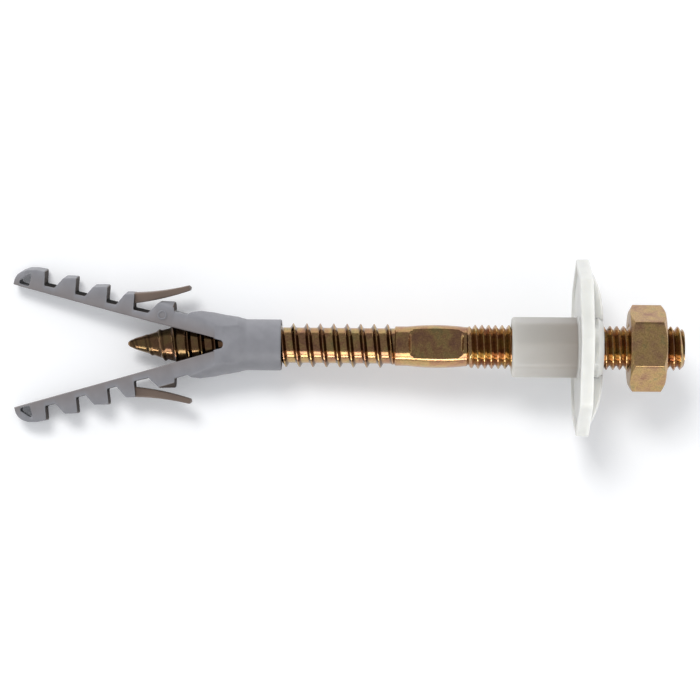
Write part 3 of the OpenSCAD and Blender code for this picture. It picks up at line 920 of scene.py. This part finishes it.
def wing_sheet(side):
    """A gusset wing: an oblong section carried outwards, whose height falls as 1 - t^p.

    Each section is a loop of six points: the base's two and, on each side, the two of the cut top edge.
    """
    t = np.linspace(0, 1, 30)[:, None]
    top = FLANGE_BACK + (HUB_END - FLANGE_BACK) * (1 - t**WING_FALL)
    base = FLANGE_BACK - WING_BITE
    high = np.maximum(top - base, WING_LEAST)
    level = np.array([0, 1, 1, 1, 1, 0])
    lowered = WING_EDGE * np.array([0, 1, 0, 0, 1, 0]) * ramp(high, *WING_EDGE_GROWS)
    x = base + high * level - lowered
    y = side * (WING_FOOT + (WING_REACH - WING_FOOT) * t)
    z = WING_T / 2 * np.array([-1, -1, -1, 1, 1, 1]) + WING_EDGE * np.array([0, 0, 1, -1, 0, 0])
    loop = np.stack(np.broadcast_arrays(x, y, z), axis=-1)
    return capped(np.concatenate([loop, loop[:, :1]], axis=1))


make_bush()

# ---------------------------------------------------------------- nut

NUT_AF = 17.0
NUT_START = 77.3
NUT_END = 85.3
NUT_TURN = -5.6
NUT_SHARPNESS = 80
NUT_BORE_R = 5.0
NUT_MOUTH = 0.6
# Radius of the flat ring at each end, as a share of the flats' distance, and slope of the chamfer cone
CROWN_SHARE = 0.975
CROWN_SLOPE = math.tan(math.radians(30))


def make_nut():
    """A hexagon cut back by a cone at both ends: r is the lower of the hexagon and the two cones."""
    angles = np.linspace(0, 2 * math.pi, 289)
    corner = NUT_AF / 2 / math.cos(math.pi / 6)
    crown = NUT_AF / 2 * CROWN_SHARE
    step = (corner - crown) * CROWN_SLOPE * np.linspace(0, 1, 12)
    x = np.concatenate([NUT_START + step, NUT_END - step[::-1]])[:, None]
    cone = crown + np.minimum(x - NUT_START, NUT_END - x) / CROWN_SLOPE
    hexagon = corner * polygon_share(angles, 6, NUT_TURN, NUT_SHARPNESS)
    outer = spun(x, np.minimum(cone, hexagon[None, :]), angles)
    inner = polygon_rows(
        [
            (NUT_END, NUT_BORE_R + NUT_MOUTH, *RING),
            (NUT_END - NUT_MOUTH, NUT_BORE_R, *RING),
            (NUT_START + NUT_MOUTH, NUT_BORE_R, *RING),
            (NUT_START, NUT_BORE_R + NUT_MOUTH, *RING),
        ],
        angles,
    )
    loop = np.concatenate([outer, inner])
    nut = piece(
        "hexagon_nut",
        [np.concatenate([loop, loop[:1]])],
        nut_steel,
        "nut",
        crease=22,
    )
    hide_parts("hex_nut")


make_nut()

# ---------------------------------------------------------------- floor, lights and camera

# Sizes and places in metres and powers in watts, but the camera's aim in the part's own frame in mm
FLOOR_SIZE = 1.6
CAMERA_DISTANCE = 0.62
CAMERA_ANGLE = math.radians(14.36)
CAMERA_TURN = math.radians(6.9)
CAMERA_ROLL = math.radians(0.53)
CAMERA_AIM = (15.25, -0.98, 0.0)
LIGHT_AIM = (0.02, 0, 0)
ROOM_LIGHT = 0.73
ROOM_SEEN = 0.31
KEY_POWER = 12.8
FAR_POWER = 3.6
NEAR_POWER = 1.5
RIGHT_POWER = 1.3
CARD_POWER = 1.5
STRIP_POWER = 1.5
TOP_POWER = 0.4


def make_floor():
    """A plain pale sheet just under the part's lowest points. Its faint glow keeps the shadows pale."""
    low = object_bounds()[0][2]
    half = FLOOR_SIZE / 2
    corners = [(-half, -half, low), (half, -half, low), (half, half, low), (-half, half, low)]
    mesh = bpy.data.meshes.new("paper_floor")
    mesh.from_pydata(corners, [], [(0, 1, 2, 3)])
    paper, _, shader = new_material("matt_white_paper")
    shader.inputs["Base Color"].default_value = linear("#f9f9f9")
    shader.inputs["Emission Color"].default_value = linear("#eef1f8")
    shader.inputs["Emission Strength"].default_value = 0.1
    shader.inputs["Roughness"].default_value = 0.9
    mesh.materials.append(paper)
    floor = bpy.data.objects.new("paper_floor", mesh)
    bpy.context.scene.collection.objects.link(floor)


def softbox(name, place, size, power, lights=True, shines=True, only=None):
    """An area light that faces the part. It lights matt surfaces, shines in glossy ones, or both.

    Where only is a collection, no other object receives the light.
    """
    light = bpy.data.lights.new(name, "AREA")
    light.shape = "RECTANGLE"
    light.size, light.size_y = size
    light.energy = power
    made = bpy.data.objects.new(name, light)
    made.location = place
    made.rotation_euler = (Vector(LIGHT_AIM) - Vector(place)).to_track_quat("-Z", "Y").to_euler()
    made.visible_diffuse = lights
    made.visible_glossy = shines
    made.light_linking.receiver_collection = only
    bpy.context.scene.collection.objects.link(made)


def lit_group(name, finishes):
    """A collection of the pieces in some finishes, for a light that reaches them alone."""
    group = bpy.data.collections.new(name)
    for thing in bpy.context.scene.objects:
        if thing.type == "MESH" and any(finish.name in thing.data.materials for finish in finishes):
            group.objects.link(thing)
    return group


def make_light():
    """A softbox high on the far left, fills and strips along both sides, and a white room.

    The room is white for matt surfaces and dim in reflections, so that the metal keeps its contrast.
    The fills light the part alone, so that the floor keeps the one shadow of the key.
    """
    world = bpy.data.worlds.new("white_room")
    world.use_nodes = True
    tree = world.node_tree
    room = tree.nodes["Background"]
    room.inputs["Color"].default_value = linear("#f6f8fb")
    seen = add_node(tree, "ShaderNodeLightPath").outputs["Is Glossy Ray"]
    strength = add_node(tree, "ShaderNodeMix", {"Factor": seen, "A": ROOM_LIGHT, "B": ROOM_SEEN})
    tree.links.new(strength.outputs["Result"], room.inputs["Strength"])
    bpy.context.scene.world = world
    plug = lit_group("lit_plug", [grey_polyamide])
    white = lit_group("lit_bush", [natural_polyamide])
    stud = lit_group("lit_stud", [stud_steel])
    nut = lit_group("lit_nut", [nut_steel])
    part = lit_group("lit_part", [grey_polyamide, natural_polyamide, stud_steel, nut_steel])
    softbox("key_softbox", (-0.48, 0.72, 1.44), (0.5, 0.5), KEY_POWER, shines=False)
    softbox("far_fill", (-0.35, 0.45, 0.16), (0.6, 0.2), FAR_POWER, shines=False, only=plug)
    softbox("near_fill", (0.02, -0.50, 0.22), (0.6, 0.2), NEAR_POWER, shines=False, only=part)
    softbox("right_fill", (0.45, 0.10, 0.30), (0.3, 0.3), RIGHT_POWER, shines=False, only=white)
    softbox("near_card", (0.02, -0.40, 0.30), (0.9, 0.18), CARD_POWER, lights=False)
    softbox("low_strip", (0.02, -0.46, 0.12), (0.9, 0.07), STRIP_POWER, lights=False, only=stud)
    softbox("top_card", (0.02, 0.0, 1.2), (0.8, 0.8), TOP_POWER, lights=False, only=nut)


def set_display():
    """Shows plain sRGB, so that the white floor is white."""
    bpy.context.scene.view_settings.view_transform = "Standard"
    bpy.context.scene.view_settings.look = "None"


def make_camera():
    """Looks almost straight down at the part, along the plane of its axis."""
    out = Vector((-math.sin(CAMERA_TURN), 0, math.cos(CAMERA_TURN)))
    right = Vector((math.cos(CAMERA_TURN), 0, math.sin(CAMERA_TURN)))
    aim = Vector(laid(CAMERA_AIM))
    up = out.cross(right)
    facing = Matrix((right, up, out)).transposed() @ Matrix.Rotation(CAMERA_ROLL, 3, "Z")
    lens = bpy.data.cameras.new("overhead_camera")
    lens.angle = CAMERA_ANGLE
    lens.clip_start = 0.01
    camera = bpy.data.objects.new("overhead_camera", lens)
    camera.matrix_world = Matrix.Translation(aim + out * CAMERA_DISTANCE) @ facing.to_4x4()
    bpy.context.scene.collection.objects.link(camera)
    bpy.context.scene.camera = camera


make_camera()
make_floor()
make_light()
set_display()
